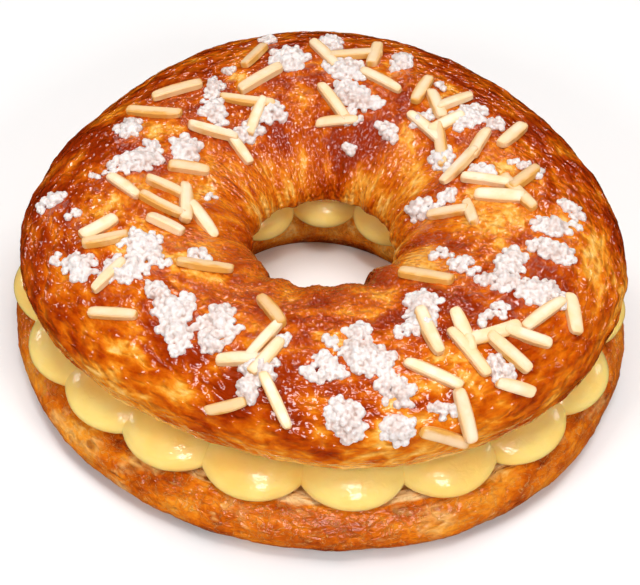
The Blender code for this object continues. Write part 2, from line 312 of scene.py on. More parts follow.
def crustFrame(angle, radius):
    # placing matrix on the crust, with its Z straight out of it
    station = stationAt(radius)
    turn, step = 0.02, 0.04
    roundRing = bunPoint(angle + turn, station) - bunPoint(angle - turn, station)
    inward = bunPoint(angle, station + step) - bunPoint(angle, station - step)
    out = roundRing.cross(inward).normalized()
    side = roundRing.normalized()
    place = Matrix((side, out.cross(side), out)).transposed().to_4x4()
    place.translation = bunPoint(angle, station)
    return place


# Top slice: glazed crust with wrinkles, blisters and streaks, cut flat underneath.

browning = {
    # station, and how brown the crust is there, 0 pale to 1 darkest; partly real browning,
    # partly painted shade on the well-lit upper outer side and painted light down the shaded
    # hole
    "stops": ((0.0, 0.04), (0.08, 0.24), (0.5, 0.38), (1.0, 0.50), (1.45, 0.64), (2.0, 0.60),
              (2.5, 0.54), (2.9, 0.42), (3.2, 0.32), (3.8, 0.14), (4.0, 0.0)),
    "palest": 0.15, "coloured": (0.4, 3.4),     # only near the two cuts is it really pale
    "patchiness": 0.40, "patchSize": 24 * mm,
    "mottle": 0.30, "mottleSize": 8 * mm,
    "placeStrength": 1.7, "falloff": 1.6, "reach": 1.6, "broken": 1.2, "brokenSize": 6 * mm,
    # lighter (minus) and darker (plus) places: angle, radius in mm, half width in mm, change
    "places": (
        (-133, 116, 16, -0.38), (-119, 122, 9, -0.10), (-162, 82, 13, -0.26),
        (-165, 110, 13, 0.30), (-90, 116, 9, -0.12),
        (-150, 66, 14, -0.26), (-72, 114, 14, -0.30), (-58, 106, 13, -0.26),
        (-40, 52, 13, -0.26), (-30, 108, 12, -0.26), (-17, 112, 17, -0.34),
        (0, 70, 12, -0.28), (20, 40, 12, -0.24), (45, 84, 12, -0.16), (-8, 96, 14, -0.12),
        (148, 36, 12, -0.26), (150, 86, 11, -0.24), (118, 88, 9, -0.22),
        (75, 86, 10, -0.20), (100, 70, 9, -0.14),
        (-180, 114, 16, 0.40), (162, 116, 17, 0.34), (-106, 108, 14, 0.26),
        (-88, 102, 10, 0.18), (-66, 80, 12, 0.22), (-62, 42, 12, 0.26), (-45, 118, 10, 0.04),
        (0, 122, 14, 0.14), (28, 120, 14, 0.10), (70, 50, 12, 0.34), (84, 44, 9, 0.28),
        (118, 58, 13, 0.28), (-120, 104, 9, 0.18), (-90, 60, 14, 0.16), (60, 112, 14, 0.16),
    ),
}


def crustBrowning(station, spot, flow):
    for (low, first), (high, second) in zip(browning["stops"], browning["stops"][1:]):
        if station <= high:
            share = (station - low) / (high - low)
            tone = first * (1 - share) + second * share
            break
    for turn, radius, width, change in browning["places"]:
        where = polar(math.radians(turn), 1).xy * radius * mm
        reach = (where - spot.xy).length / (width * mm)
        if reach < browning["reach"]:
            grain = fractal(flow + Vector((0, 0, radius * mm)), browning["brokenSize"])
            tone += (change * browning["placeStrength"] * (1 + browning["broken"] * grain)
                     * math.exp(-browning["falloff"] * reach * reach))
    tone += browning["patchiness"] * fractal(spot, browning["patchSize"], 2)
    tone += browning["mottle"] * fractal(flow, browning["mottleSize"])
    start, end = browning["coloured"]
    return min(max(tone, browning["palest"] if start < station < end else 0.0), 1.0)


def evenStations(step):
    # stations that lie evenly along the section, and the length up to each
    perCurve = 100
    fine = [index / perCurve for index in range(lastStation * perCurve + 1)]
    length, marks = 0.0, [0.0]
    for a, b in zip(fine, fine[1:]):
        length += (onSection(b) - onSection(a)).length
        marks.append(length)
    count = round(length / step)
    stations, index = [], 0
    for item in range(count + 1):
        goal = length * item / count
        while index < len(marks) - 2 and marks[index + 1] < goal:
            index += 1
        share = (goal - marks[index]) / (marks[index + 1] - marks[index])
        stations.append((fine[index] + share * fine[1], goal))
    return stations


def makeTopSlice():
    stations = evenStations(bun["rowStep"])
    sections = [sectionFrame(station) for station, _ in stations]
    wide, (narrow, short) = bun["outerStretch"], bun["innerStretch"]
    rings = []
    for angle in spaced(bun["columns"]):
        out = polar(angle, 1)
        around = out * bun["flowRadius"]
        ring = []
        for (station, length), (here, outward) in zip(stations, sections):
            fade = smooth((here.y - bun["underside"]) / bun["reliefFade"])
            inside = smooth((station - crestStation) * bun["inwardGrowth"])
            steady = Vector((around.x, around.y, length))
            # wrinkles lie along the ring outside, streaks run down into the hole
            outer = Vector((around.x * wide, around.y * wide, length))
            inner = Vector((around.x * narrow, around.y * narrow, length * short))
            relief = (bun["wrinkleDepth"] * (1 - inside) * fractal(outer, bun["wrinkleSize"], 2)
                      + bun["streakDepth"] * inside * fractal(inner, bun["wrinkleSize"], 2)
                      + bun["blisterDepth"] * abs(fractal(steady, bun["blisterSize"], 2)))
            place = bunPlace(angle, station, here, outward, relief * fade)
            near = smooth(1 - min(station, lastStation - station) * bun["ragReach"])
            if near:
                ragged = fractal(steady, bun["ragSize"])
                place += out * near * ragged * bun["ragDepth"] * (1 if station < 1 else -1)
                place.z += near * abs(ragged) * bun["ragDepth"]
            tone = crustBrowning(station, polar(angle, here.x, here.y),
                                 inner if inside > 0.5 else outer)
            ring.append((place, tone, steady, 0.0, inside))
        rim, holeRim = ring[0][0], ring[-1][0]
        for row in range(1, bun["cutRows"]):
            share = row / bun["cutRows"]
            spot = holeRim.lerp(rim, share)
            spot.z += (bun["poreDepth"] * fractal(spot, bun["poreSize"])
                       * smooth(min(share, 1 - share) * bun["poreFade"]))
            flow = (around.x, around.y, stations[-1][1] + share * bun["cutWidth"])
            ring.append((spot, bun["cutTone"], flow, 1.0, 0.0))
        rings.append(ring)
    return ringMesh("topSlice", rings, ("browning", "flow", "cut", "inward"))


crustLook = {
    # from pale dough through gold and chestnut to nearly burnt
    "tones": ((0.0, "#F4BE6C"), (0.16, "#ECA23C"), (0.32, "#E08018"), (0.48, "#D06408"),
              (0.64, "#BC4E02"), (0.8, "#A83A00"), (1.0, "#902800")),
    "crumb": ((0.35, "#C98B43"), (0.6, "#EBC07A")),
    "streak": 5.0 * mm, "wrinkle": 3.8 * mm, "grain": {"Scale": 1 / (1.2 * mm), "Detail": 2.0},
    "blisters": {"Scale": 1 / (2.8 * mm), "feature": 'SMOOTH_F1', "Smoothness": 0.4},
    "soft": {"Detail": 4.0, "Roughness": 0.58, "Distortion": 0.5}, "softInHole": 2.0,
    "fine": {"Detail": 1.6, "Roughness": 0.5, "Distortion": 0.5},
    # how far streaks and wrinkles are drawn out, outside along the ring and inside down
    "streakLie": (0.75, 0.75, 1.0), "wrinkleLie": (0.78, 0.78, 1.0),
    "holeLie": (0.6, 0.6, 0.28),
    "weights": (1.08, 0.55, -0.2, 0.2),     # in the tone: streaks, wrinkles, blisters, grain
    "evening": 0.77, "blisterBump": -0.4, "bumpDepth": 2.6 * mm,
    # To Min is for the palest crust, To Max holds from the tone of From Max on
    "roughness": {"From Max": 0.45, "To Min": 0.55, "To Max": 0.35},
    "glaze": {"From Max": 0.3, "To Min": 0.35, "To Max": 1.0},
    # the dough hardly shines by itself, as the glaze lies straight on it
    "finish": {"Specular IOR Level": 0.04, "Coat IOR": 1.55, "Coat Roughness": 0.035},
}


def glazedCrust():
    # Brioche crust, washed with egg and baked: a thin clear glaze over the brown dough
    # gives a small sharp glint on every wrinkle, duller where the crust stayed pale.
    material, tree, shader, tone, flow, cut, inward = newMaterial(
        "egg_washed_brioche_crust", "browning", "flow", "cut", "inward")

    def drawnOut(size, *lies):
        # outside, the pattern lies along the ring; in the hole it runs down
        outer, inner = (
            addNode(tree, "TexNoise", {"Scale": 1 / size, **settings},
                    {"Vector": addNode(tree, "Mapping", {"Scale": lie}, {"Vector": flow})})
            for lie, settings in lies)
        return addNode(tree, "Mix", {"data_type": 'FLOAT'}, {0: inward, 2: outer, 3: inner})

    soft, fine = crustLook["soft"], crustLook["fine"]
    streaks = drawnOut(crustLook["streak"], (crustLook["streakLie"], soft),
                       (crustLook["holeLie"], {**soft, "Detail": crustLook["softInHole"]}))
    wrinkles = drawnOut(crustLook["wrinkle"], (crustLook["wrinkleLie"], fine),
                        (crustLook["holeLie"], fine))
    grain = addNode(tree, "TexNoise", crustLook["grain"], {"Vector": flow})
    blisters = addNode(tree, "TexVoronoi", crustLook["blisters"], {"Vector": flow})
    # tone of the crust, where ridges and blisters browned more than the dips
    mottled = tone
    for pattern, weight in zip((streaks, wrinkles, blisters, grain), crustLook["weights"]):
        mottled = addNode(tree, "Math", {"operation": 'MULTIPLY_ADD', 1: weight},
                          {0: pattern, 2: mottled})
    mottled = addNode(tree, "Math", {"operation": 'SUBTRACT', 1: crustLook["evening"]},
                      {0: mottled})
    crust = addNode(tree, "ValToRGB", None, {"Fac": mottled}, crustLook["tones"])
    crumb = addNode(tree, "ValToRGB", None, {"Fac": streaks}, crustLook["crumb"])
    colour = addNode(tree, "Mix", {"data_type": 'RGBA'}, {0: cut, 6: crust, 7: crumb})
    gloss = addNode(tree, "MapRange", crustLook["roughness"], {"Value": mottled})
    dull = addNode(tree, "Math", {"operation": 'MAXIMUM'}, {0: gloss, 1: cut})
    glaze = addNode(tree, "MapRange", crustLook["glaze"], {"Value": mottled})
    glaze = addNode(tree, "Math", {"operation": 'SUBTRACT', "use_clamp": True},
                    {0: glaze, 1: cut})
    height = addNode(tree, "Math", {"operation": 'MULTIPLY_ADD', 1: crustLook["blisterBump"]},
                     {0: blisters, 2: wrinkles})
    bump = addNode(tree, "Bump", {"Distance": crustLook["bumpDepth"]}, {"Height": height})
    fit(shader, crustLook["finish"],
        {"Base Color": colour.outputs[2], "Roughness": dull, "Coat Weight": glaze,
         "Normal": bump, "Coat Normal": bump})
    return material


topSlice = makeTopSlice()
wear(topSlice, glazedCrust(), "crust", "top_slice")
print("top slice:", len(topSlice.data.polygons), "faces")


# Bottom slice: browned side, pale open crumb where it was cut.

def baseOutline(angle):
    # section of the bottom slice: point, how much crust relief, how much cut crumb
    height, widest, foot = base["height"], base["widestRadius"], base["footRadius"]
    holeFoot, hole = base["holeFootRadius"], base["holeRadius"]
    rim = base["rimRadius"] * waves(base["rimWaves"], angle)
    low, middle, high, top = (height * share for share in base["handleHeights"])
    side = (foot, 0), (foot + base["footHandle"], 0), (widest, low), (widest, middle)
    edge = (widest, middle), (widest, high), (rim + base["rimHandle"], top), (rim, height)
    outline = []
    for handles, count in ((side, base["sideRows"]), (edge, base["edgeRows"])):
        handles = [Vector(handle) for handle in handles]
        for index in range(count):
            outline.append((bezier(handles, index / count), 1.0, 0.0))
    for index in range(base["cutRows"] + 1):
        across = rim + (hole - rim) * (index / base["cutRows"]) ** base["cutSpacing"]
        outline.append((Vector((across, height)), 0.0, 1.0))
    for index in range(1, base["holeRows"]):
        share = index / base["holeRows"]
        bulge = hole - base["holeBulge"] * math.sin(math.pi * share)
        across = bulge + (holeFoot - hole) * smooth(share * 2 - 1)
        outline.append((Vector((across, height * (1 - share))), 1.0, 0.0))
    for index in range(base["footRows"]):
        across = holeFoot + (foot - holeFoot) * index / base["footRows"]
        outline.append((Vector((across, 0)), 0.0, 0.0))
    return outline


def makeBottomSlice():
    rings = []
    for angle in spaced(base["columns"]):
        outline = baseOutline(angle)
        around = polar(angle, 1) * base["flowRadius"] * mm
        rim = base["rimRadius"] * waves(base["rimWaves"], angle)
        length, last, ring = 0.0, outline[0][0], []
        for here, crusty, crumby in outline:
            length += (here - last).length
            last = here
            steady = Vector((around.x, around.y, length))
            drawn = Vector((around.x * base["stretch"], around.y * base["stretch"], length))
            uneven = fractal(drawn, base["reliefSize"])
            rough = (crusty * (base["relief"] * uneven
                               + base["flakes"] * abs(fractal(steady, base["flakeSize"], 2)))
                     * smooth(here.y / base["footFade"]))
            # the cut edge is torn, worst right at the rim
            near = (smooth(1 - abs(here.x - rim) / base["tearReach"])
                    * (here.y > base["height"] / 2))
            tear = fractal(steady, base["tearSize"])
            radius = here.x * waves(base["waves"], angle)
            radius += ((rough + near * tear * base["tear"])
                       * (1 if here.x > base["middleRadius"] else -1))
            sink = (crumby * base["pores"]
                    * (fractal(drawn, base["poreSize"]) - base["poreLevel"]))
            sink = min(sink, 0) - near * abs(tear) * base["tear"] * base["tearSink"]
            shade = (base["browning"]
                     + base["patchiness"] * fractal(steady, base["patchSize"], 2)
                     + base["mottle"] * uneven
                     + base["footBrown"] * smooth(1 - here.y / base["footReach"])
                     - base["rimPale"] * near
                     - (base["holePale"] if here.x < base["holeReach"] else 0))
            ring.append((polar(angle, radius, here.y + sink),
                         min(max(shade, 0.0), 1.0), steady, crumby))
        rings.append(ring)
    return ringMesh("bottomSlice", rings, ("browning", "flow", "cut"))


baseLook = {
    "tones": ((0.0, "#F3BC66"), (0.22, "#E89226"), (0.45, "#D87008"), (0.65, "#BE5402"),
              (0.85, "#983800"), (1.0, "#702400")),
    # the dark end of the crumb colours is painted shade in pores and between fibres
    "crumb": ((0.48, "#8E4E1C"), (0.58, "#E2A65A"), (0.74, "#F4CE94")),
    # the dark end of the net colours is painted shade in the torn holes
    "net": ((0.03, "#EFBC6E"), (0.14, "#E2A65A"), (0.34, "#8E4E1C")),
    "lifted": "#EFBC6E",
    "alongLie": (0.3, 0.3, 1.0), "wavyLie": (0.6, 0.6, 1.0),
    # fibres, wrinkles, flakes, cracks, torn patches: size, detail, roughness, distortion
    "noises": ((1.6 * mm, 3.0, 0.55, 0.0), (3.2 * mm, 1.5, 0.5, 0.6),
               (3.0 * mm, 4.0, 0.6, 0.8), (6.0 * mm, 3.0, 0.6, 1.2),
               (24 * mm, 4.0, 0.65, 0.0)),
    "pores": {"Scale": 1 / (3.0 * mm)},
    "tornCells": {"Scale": 1 / (3.4 * mm), "feature": 'DISTANCE_TO_EDGE'},
    "crackLine": {"From Max": 0.016, "To Min": 0.5, "To Max": 0.0},
    "torn": {"From Min": 0.56, "From Max": 0.64, "To Max": 0.7},
    "flakeWeight": 0.9, "evening": 0.42, "poreShadeWeight": 0.35,
    "bumpWeights": (0.25, 0.25, -0.8),      # fibres, cracks, torn holes
    "bumpDepth": 2.0 * mm,
    # crust first, cut crumb second
    "roughness": {"To Min": 0.32, "To Max": 0.8}, "skin": {"To Min": 0.45, "To Max": 0.0},
    "finish": {"Specular IOR Level": 0.10, "Coat IOR": 1.50, "Coat Roughness": 0.08},
}


def bakedCrumb():
    # Unglazed brioche side and its cut crumb: satin brown skin with lifted flakes, and
    # open fibres that scatter the light so that the cut looks soft and dull; the shade in the
    # pores, between the fibres and in torn holes is painted into the colour.
    material, tree, shader, tone, flow, cut = newMaterial(
        "brioche_side_and_cut_crumb", "browning", "flow", "cut")
    along, wavy = (addNode(tree, "Mapping", {"Scale": baseLook[lie]}, {"Vector": flow})
                   for lie in ("alongLie", "wavyLie"))
    fibres, wrinkles, flakes, cracks, torn = (
        addNode(tree, "TexNoise", {"Scale": 1 / size, "Detail": detail,
                                   "Roughness": roughness, "Distortion": distortion},
                {"Vector": path})
        for path, (size, detail, roughness, distortion) in zip(
            (along, wavy, flow, flow, flow), baseLook["noises"]))
    # thin pale lines where the skin lifted, drawn a little wider than they are
    line = addNode(tree, "Math", {"operation": 'SUBTRACT', 1: 0.5}, {0: cracks})
    line = addNode(tree, "Math", {"operation": 'ABSOLUTE'}, {0: line})
    line = addNode(tree, "MapRange", baseLook["crackLine"], {"Value": line})
    mottled = addNode(tree, "Math", {"operation": 'MULTIPLY_ADD', 1: baseLook["flakeWeight"]},
                      {0: flakes, 2: tone})
    mottled = addNode(tree, "Math", {"operation": 'SUBTRACT', 1: baseLook["evening"]},
                      {0: mottled})
    crust = addNode(tree, "ValToRGB", None, {"Fac": mottled}, baseLook["tones"])
    crust = addNode(tree, "Mix", {"data_type": 'RGBA', 7: linear(baseLook["lifted"])},
                    {0: line, 6: crust})
    # places where the skin tore and the crumb shows as a pale net round holes darkened with
    # painted shade
    net = addNode(tree, "TexVoronoi", baseLook["tornCells"], {"Vector": wavy})
    netWithHoleShade = addNode(tree, "ValToRGB", None, {"Fac": net}, baseLook["net"])
    torn = addNode(tree, "MapRange", baseLook["torn"], {"Value": torn})
    crust = addNode(tree, "Mix", {"data_type": 'RGBA'},
                    {0: torn, 6: crust.outputs[2], 7: netWithHoleShade})
    # pores and the gaps between fibres darkened with painted shade
    pores = addNode(tree, "TexVoronoi", baseLook["pores"], {"Vector": along})
    poreAndFibreShade = addNode(tree, "Math", {"operation": 'MULTIPLY_ADD', 1: baseLook["poreShadeWeight"]},
                     {0: pores, 2: fibres})
    crumb = addNode(tree, "ValToRGB", None, {"Fac": poreAndFibreShade}, baseLook["crumb"])
    colour = addNode(tree, "Mix", {"data_type": 'RGBA'},
                     {0: cut, 6: crust.outputs[2], 7: crumb})
    rough = addNode(tree, "MapRange", baseLook["roughness"], {"Value": cut})
    skin = addNode(tree, "MapRange", baseLook["skin"], {"Value": cut})
    holes = addNode(tree, "Math", {"operation": 'MULTIPLY'}, {0: torn, 1: net})
    height = wrinkles
    for pattern, weight in zip((fibres, line, holes), baseLook["bumpWeights"]):
        height = addNode(tree, "Math", {"operation": 'MULTIPLY_ADD', 1: weight},
                         {0: pattern, 2: height})
    bump = addNode(tree, "Bump", {"Distance": baseLook["bumpDepth"]}, {"Height": height})
    fit(shader, baseLook["finish"],
        {"Base Color": colour.outputs[2], "Roughness": rough, "Coat Weight": skin,
         "Normal": bump, "Coat Normal": bump})
    return material


bottomSlice = makeBottomSlice()
wear(bottomSlice, bakedCrumb(), "crumb", "bottom_slice")
print("bottom slice:", len(bottomSlice.data.polygons), "faces")


# Custard: balls piped side by side on a flat bed, joined into one mass.

custard = {
    "gap": 0.3 * mm, "clearance": 0.15 * mm,
    "outerBalls": 18, "outerRadius": 24.6 * mm, "outerReach": 130.4 * mm, "outerStart": -81,
    "innerBalls": 10, "innerRadius": 16.8 * mm, "innerReach": 35.2 * mm, "innerStart": 91,
    "outerWaves": ((1, -0.004, 0), (2, 0.064, -0.022)),
    "outerShifts": ((1, -0.015, 0.008), (2, 0.022, 0.004), (3, -0.059, 0.011)),
    "middle": 0.26, "halfHeight": 0.58, "unevenness": 0.02, "seed": 3,
    "sides": 72, "rings": 40, "bedColumns": 144, "creaseDegrees": 28,
    "ripple": 0.35 * mm, "rippleSize": 16 * mm,
}


def outerTurn(angle):
    return angle + waves(custard["outerShifts"], angle) - 1


def makeCustard():
    low = base["height"] + custard["gap"]
    high = bun["underside"] - custard["gap"]
    gap = high - low
    rise = gap * custard["middle"]
    draw = random.Random(custard["seed"])
    outerMiddle = custard["outerReach"] - custard["outerRadius"]
    innerMiddle = custard["innerReach"] + custard["innerRadius"]
    rings = []
    for angle in spaced(custard["bedColumns"]):
        out = outerMiddle * waves(custard["outerWaves"], angle)
        rings.append([(polar(outerTurn(angle), radius, height),) for radius, height in (
            (out, low), (out, high), (innerMiddle, high), (innerMiddle, low))])
    bed = ringMesh("custardFilling", rings)
    balls = [(outerTurn(angle), outerMiddle * waves(custard["outerWaves"], angle),
              custard["outerRadius"])
             for angle in spaced(custard["outerBalls"], custard["outerStart"])]
    balls += [(angle, innerMiddle, custard["innerRadius"])
              for angle in spaced(custard["innerBalls"], custard["innerStart"])]
    group = bpy.data.collections.new("custardBalls")
    bpy.context.scene.collection.children.link(group)
    for index, (angle, distance, radius) in enumerate(balls):
        size = radius * (1 + draw.uniform(-custard["unevenness"], custard["unevenness"]))
        turn = draw.uniform(0, math.pi)
        mesh = bmesh.new()
        bmesh.ops.create_uvsphere(mesh, u_segments=custard["sides"],
                                  v_segments=custard["rings"], radius=1)
        bmesh.ops.scale(mesh, vec=(size, size, gap * custard["halfHeight"]), verts=mesh.verts)
        middle = polar(angle, distance, low + rise)
        for vert in mesh.verts:
            vert.co.z = max(vert.co.z, custard["clearance"] - rise)
            ripple = custard["ripple"] * noise.noise((vert.co + middle) / custard["rippleSize"])
            vert.co.xy *= 1 + ripple / size
        data = bpy.data.meshes.new(f"ball{index}")
        mesh.to_mesh(data)
        mesh.free()
        ball = bpy.data.objects.new(f"ball{index}", data)
        ball.matrix_world = Matrix.Translation(middle) @ Matrix.Rotation(turn, 4, 'Z')
        group.objects.link(ball)
    reshape(bed, 'BOOLEAN', operation='UNION', operand_type='COLLECTION',
            collection=group, solver='MANIFOLD')
    for ball in list(group.objects):
        bpy.data.objects.remove(ball)
    bpy.data.collections.remove(group)
    bed.data.shade_smooth()
    bed.data.set_sharp_from_angle(angle=math.radians(custard["creaseDegrees"]))
    return bed


custardLook = {
    "colours": ((0.3, "#FECE6C"), (0.6, "#FFDB82")),
    "cloud": {"Scale": 1 / (20 * mm), "Detail": 2.0}, "ridgeLie": (0.45, 0.45, 1.0),
    "ridges": {"Scale": 1 / (1.7 * mm), "Detail": 2.0, "Distortion": 0.8},
    "bump": {"Distance": 0.22 * mm},
    "finish": {"Roughness": 0.35, "IOR": 1.40, "Coat Weight": 0.8, "Coat Roughness": 0.06,
               "Subsurface Weight": 0.55, "Subsurface Radius": (1.0, 0.7, 0.3),
               "Subsurface Scale": 7 * mm},
}


def pipedCustard():
    # Cooked pastry custard: light goes a few millimetres into it, so its edges glow, and
    # the wet skin has soft highlights broken by fine ridges from the nozzle.
    material, tree, shader = newMaterial("pastry_custard")
    where = addNode(tree, "TexCoord").outputs["Object"]
    cloud = addNode(tree, "TexNoise", custardLook["cloud"], {"Vector": where})
    colour = addNode(tree, "ValToRGB", None, {"Fac": cloud}, custardLook["colours"])
    path = addNode(tree, "Mapping", {"Scale": custardLook["ridgeLie"]}, {"Vector": where})
    ridges = addNode(tree, "TexNoise", custardLook["ridges"], {"Vector": path})
    bump = addNode(tree, "Bump", custardLook["bump"], {"Height": ridges})
    fit(shader, custardLook["finish"],
        {"Base Color": colour, "Normal": bump, "Coat Normal": bump})
    return material


filling = makeCustard()
wear(filling, pipedCustard(), "custard", "custard")
print("custard:", len(filling.data.polygons), "faces")


# Toppings: drifts of almonds and sugar, laid by the same rule as in the solid part.

toppings = {
    # angle in degrees, radius in mm, half spread in degrees, half width in mm, almonds,
    # sugar clumps, nuggets in the largest clump, seed
    "drifts": (
        (-84, 122, 23, 4, 2, 3, 22, 30629), (-78, 96, 5, 15, 0, 3, 24, 16571),
        (-88, 100, 4, 13, 0, 4, 8, 31480), (-56, 72, 13, 35, 4, 4, 14, 2785),
        (-51, 110, 6, 20, 4, 1, 8, 28611), (-30, 94, 15, 19, 3, 3, 18, 28912),
        (-26, 78, 8, 26, 0, 3, 16, 8458), (-16, 90, 16, 13, 0, 4, 14, 32805),
        (8, 44, 17, 33, 4, 2, 10, 6182), (16, 72, 14, 27, 5, 3, 7, 2680),
        (41, 89, 10, 35, 2, 3, 18, 16447), (71, 103, 23, 38, 6, 3, 10, 18794),
        (86, 88, 15, 24, 1, 5, 22, 18370), (62, 58, 30, 14, 2, 3, 6, 35744),
        (102, 94, 19, 34, 5, 3, 18, 33080), (132, 79, 14, 22, 4, 4, 14, 33710),
        (167, 84, 16, 24, 3, 5, 20, 32635), (-178, 109, 16, 20, 2, 2, 6, 38546),
        (172, 50, 30, 19, 4, 1, 2, 19249), (-151, 89, 13, 28, 2, 6, 20, 3878),
        (-132, 94, 10, 18, 1, 5, 14, 28515), (-120, 91, 19, 19, 4, 3, 16, 22022),
        (-104, 108, 7, 17, 2, 3, 14, 39485),
    ),
    "room": 7 * mm, "tries": 12, "clumpShrink": 1.3,
}


def scatter():
    clumps, almonds, taken = [], [], []
    for drift in toppings["drifts"]:
        angle, radius, spread, width, almondCount, clumpCount, largest, seed = drift
        draw = random.Random(seed)
        for index in range(clumpCount + almondCount):
            for _ in range(toppings["tries"]):
                turn, reach = math.radians(angle), radius * mm
                if index:
                    turn = math.radians(angle + draw.uniform(-spread, spread))
                    reach = (radius + draw.uniform(-width, width)) * mm
                spot = polar(turn, reach)
                if all((spot - other).length >= toppings["room"] for other in taken):
                    break
            taken.append(spot)
            if index < clumpCount:
                size = largest * (1 - index / clumpCount) ** toppings["clumpShrink"]
                clumps.append((turn, reach, max(2, round(size))))
            else:
                almonds.append((turn, reach, draw.uniform(0, math.pi)))
    return clumps, almonds


clumpSpots, almondSpots = scatter()


def joinedPiece(name, parts, label="", sharpDegrees=180):
    # one mesh out of (bmesh, placing matrix, value kept on each point) parts
    verts, faces, values = [], [], []
    for mesh, place, kept in parts:
        start = len(verts)
        mesh.verts.index_update()
        verts += [place @ vert.co for vert in mesh.verts]
        faces += [[start + vert.index for vert in face.verts] for face in mesh.faces]
        values += kept
    data = bpy.data.meshes.new(name)
    data.from_pydata(verts, [], faces)
    data.shade_smooth()
    if label:
        data.attributes.new(label, 'FLOAT', 'POINT').data.foreach_set("value", values)
        data.set_sharp_from_angle(angle=math.radians(sharpDegrees))
    return addObject(name, data)


almond = {
    "length": 21.5 * mm, "width": 5.4 * mm, "height": 4.0 * mm, "lengths": (0.8, 1.2),
    "widths": (0.88, 1.14), "heights": (0.85, 1.1), "bend": 0.7 * mm, "skew": 0.3,
    "ends": (0.72, 0.95), "squareness": (5.5, 9.0), "bluntness": 15, "endRound": 0.36,
    "endHeight": 0.45, "slices": 15, "corners": 16, "creaseDegrees": 34,
    "seed": 5, "rise": 0.36, "roll": 0.25,
    # the side weight darkens sides and ends: partly toast, partly painted shade on the sides
    "toasted": 1.1, "toastBias": 2.2, "sideToastAndShade": 1.4, "sidePower": 3, "endPower": 12,
    "flesh": ((0.35, "#F0D2A4"), (0.6, "#F7E2C6")), "toast": "#D89C46",
    "grain": {"Scale": 1 / (6 * mm), "Detail": 3.0},
    "bump": {"Strength": 0.5, "Distance": 0.1 * mm},
    "finish": {"Roughness": 0.45, "IOR": 1.45, "Subsurface Weight": 0.15,
               "Subsurface Radius": (1.0, 0.7, 0.4), "Subsurface Scale": 0.7 * mm},
}


def batonMesh(length, draw):
    # square-cut baton with rounded edges and blunt ends; returns the mesh as a bmesh, and
    # how near each point is to the sides and the ends
    mesh = bmesh.new()
    half = length / 2
    width = almond["width"] / 2 * draw.uniform(*almond["widths"])
    height = almond["height"] / 2 * draw.uniform(*almond["heights"])
    bend = draw.uniform(-1, 1) * almond["bend"]
    skew = draw.uniform(-almond["skew"], almond["skew"])
    ends = draw.uniform(*almond["ends"]), draw.uniform(*almond["ends"])
    square = draw.uniform(*almond["squareness"])
    rings = []
    for index in range(almond["slices"]):
        # closer together at the ends, which never close quite to a point
        reach = math.sin(math.pi * (index / (almond["slices"] - 1) - 0.5))
        end = ends[0] if reach < 0 else ends[1]
        swell = ((1 - (1 - end) * reach * reach)
                 * (1 - abs(reach) ** almond["bluntness"] * 0.999) ** almond["endRound"])
        tall = almond["endHeight"] + (1 - almond["endHeight"]) * swell
        ring = []
        for corner in range(almond["corners"]):
            turn = 2 * math.pi * (corner + 0.5) / almond["corners"]
            c, s = math.cos(turn), math.sin(turn)
            size = (abs(c) ** square + abs(s) ** square) ** (-1 / square)
            y, z = size * c * width * swell, size * s * height * tall
            x = reach * half + skew * y * reach * reach
            ring.append(mesh.verts.new((x, y + bend * (1 - reach * reach), z)))
        rings.append(ring)
    for ring, after in zip(rings, rings[1:]):
        for index in range(len(ring)):
            other = (index + 1) % len(ring)
            mesh.faces.new((ring[index], ring[other], after[other], after[index]))
    mesh.faces.new(rings[0][::-1])
    mesh.faces.new(rings[-1])
    bmesh.ops.recalc_face_normals(mesh, faces=mesh.faces)
    return mesh, [max(min(abs(vert.co.y) / width, 1) ** almond["sidePower"],
                      (abs(vert.co.x) / half) ** almond["endPower"]) for vert in mesh.verts]


def makeAlmonds():
    lengths = random.Random(almond["seed"])
    draw = random.Random(almond["seed"] + 1)
    parts = []
    for angle, radius, heading in almondSpots:
        length = almond["length"] * lengths.uniform(*almond["lengths"])
        place = crustFrame(angle, radius) @ Matrix.Rotation(heading, 4, 'Z')
        lift = Matrix.Translation((0, 0, almond["height"] * almond["rise"]))
        roll = Matrix.Rotation(draw.uniform(-almond["roll"], almond["roll"]), 4, 'X')
        toast = draw.random() ** almond["toastBias"] * almond["toasted"]
        baton, sides = batonMesh(length, draw)
        # darker golden sides and ends: partly toast, partly painted shade on the sides
        parts.append((baton, place @ lift @ roll,
                      [toast + side * almond["sideToastAndShade"] for side in sides]))
    return joinedPiece("almondBatons", parts, "toast", almond["creaseDegrees"])


def cutAlmond():
    # Blanched almond cut in batons: waxy ivory flesh that lets a little light in, with a
    # faint grain, golden where the oven caught it, and darker on the sides, partly toast and
    # partly painted shade.
    material, tree, shader, toast = newMaterial("blanched_almond", "toast")
    where = addNode(tree, "TexCoord").outputs["Object"]
    grain = addNode(tree, "TexNoise", almond["grain"], {"Vector": where})
    flesh = addNode(tree, "ValToRGB", None, {"Fac": grain}, almond["flesh"])
    amount = addNode(tree, "Math", {"operation": 'MULTIPLY'}, {0: toast, 1: grain})
    colour = addNode(tree, "Mix", {"data_type": 'RGBA', 7: linear(almond["toast"])},
                     {0: amount, 6: flesh})
    bump = addNode(tree, "Bump", almond["bump"], {"Height": grain})
    fit(shader, almond["finish"], {"Base Color": colour.outputs[2], "Normal": bump})
    return material


almonds = makeAlmonds()
wear(almonds, cutAlmond(), "almond")
print("almonds:", len(almondSpots))


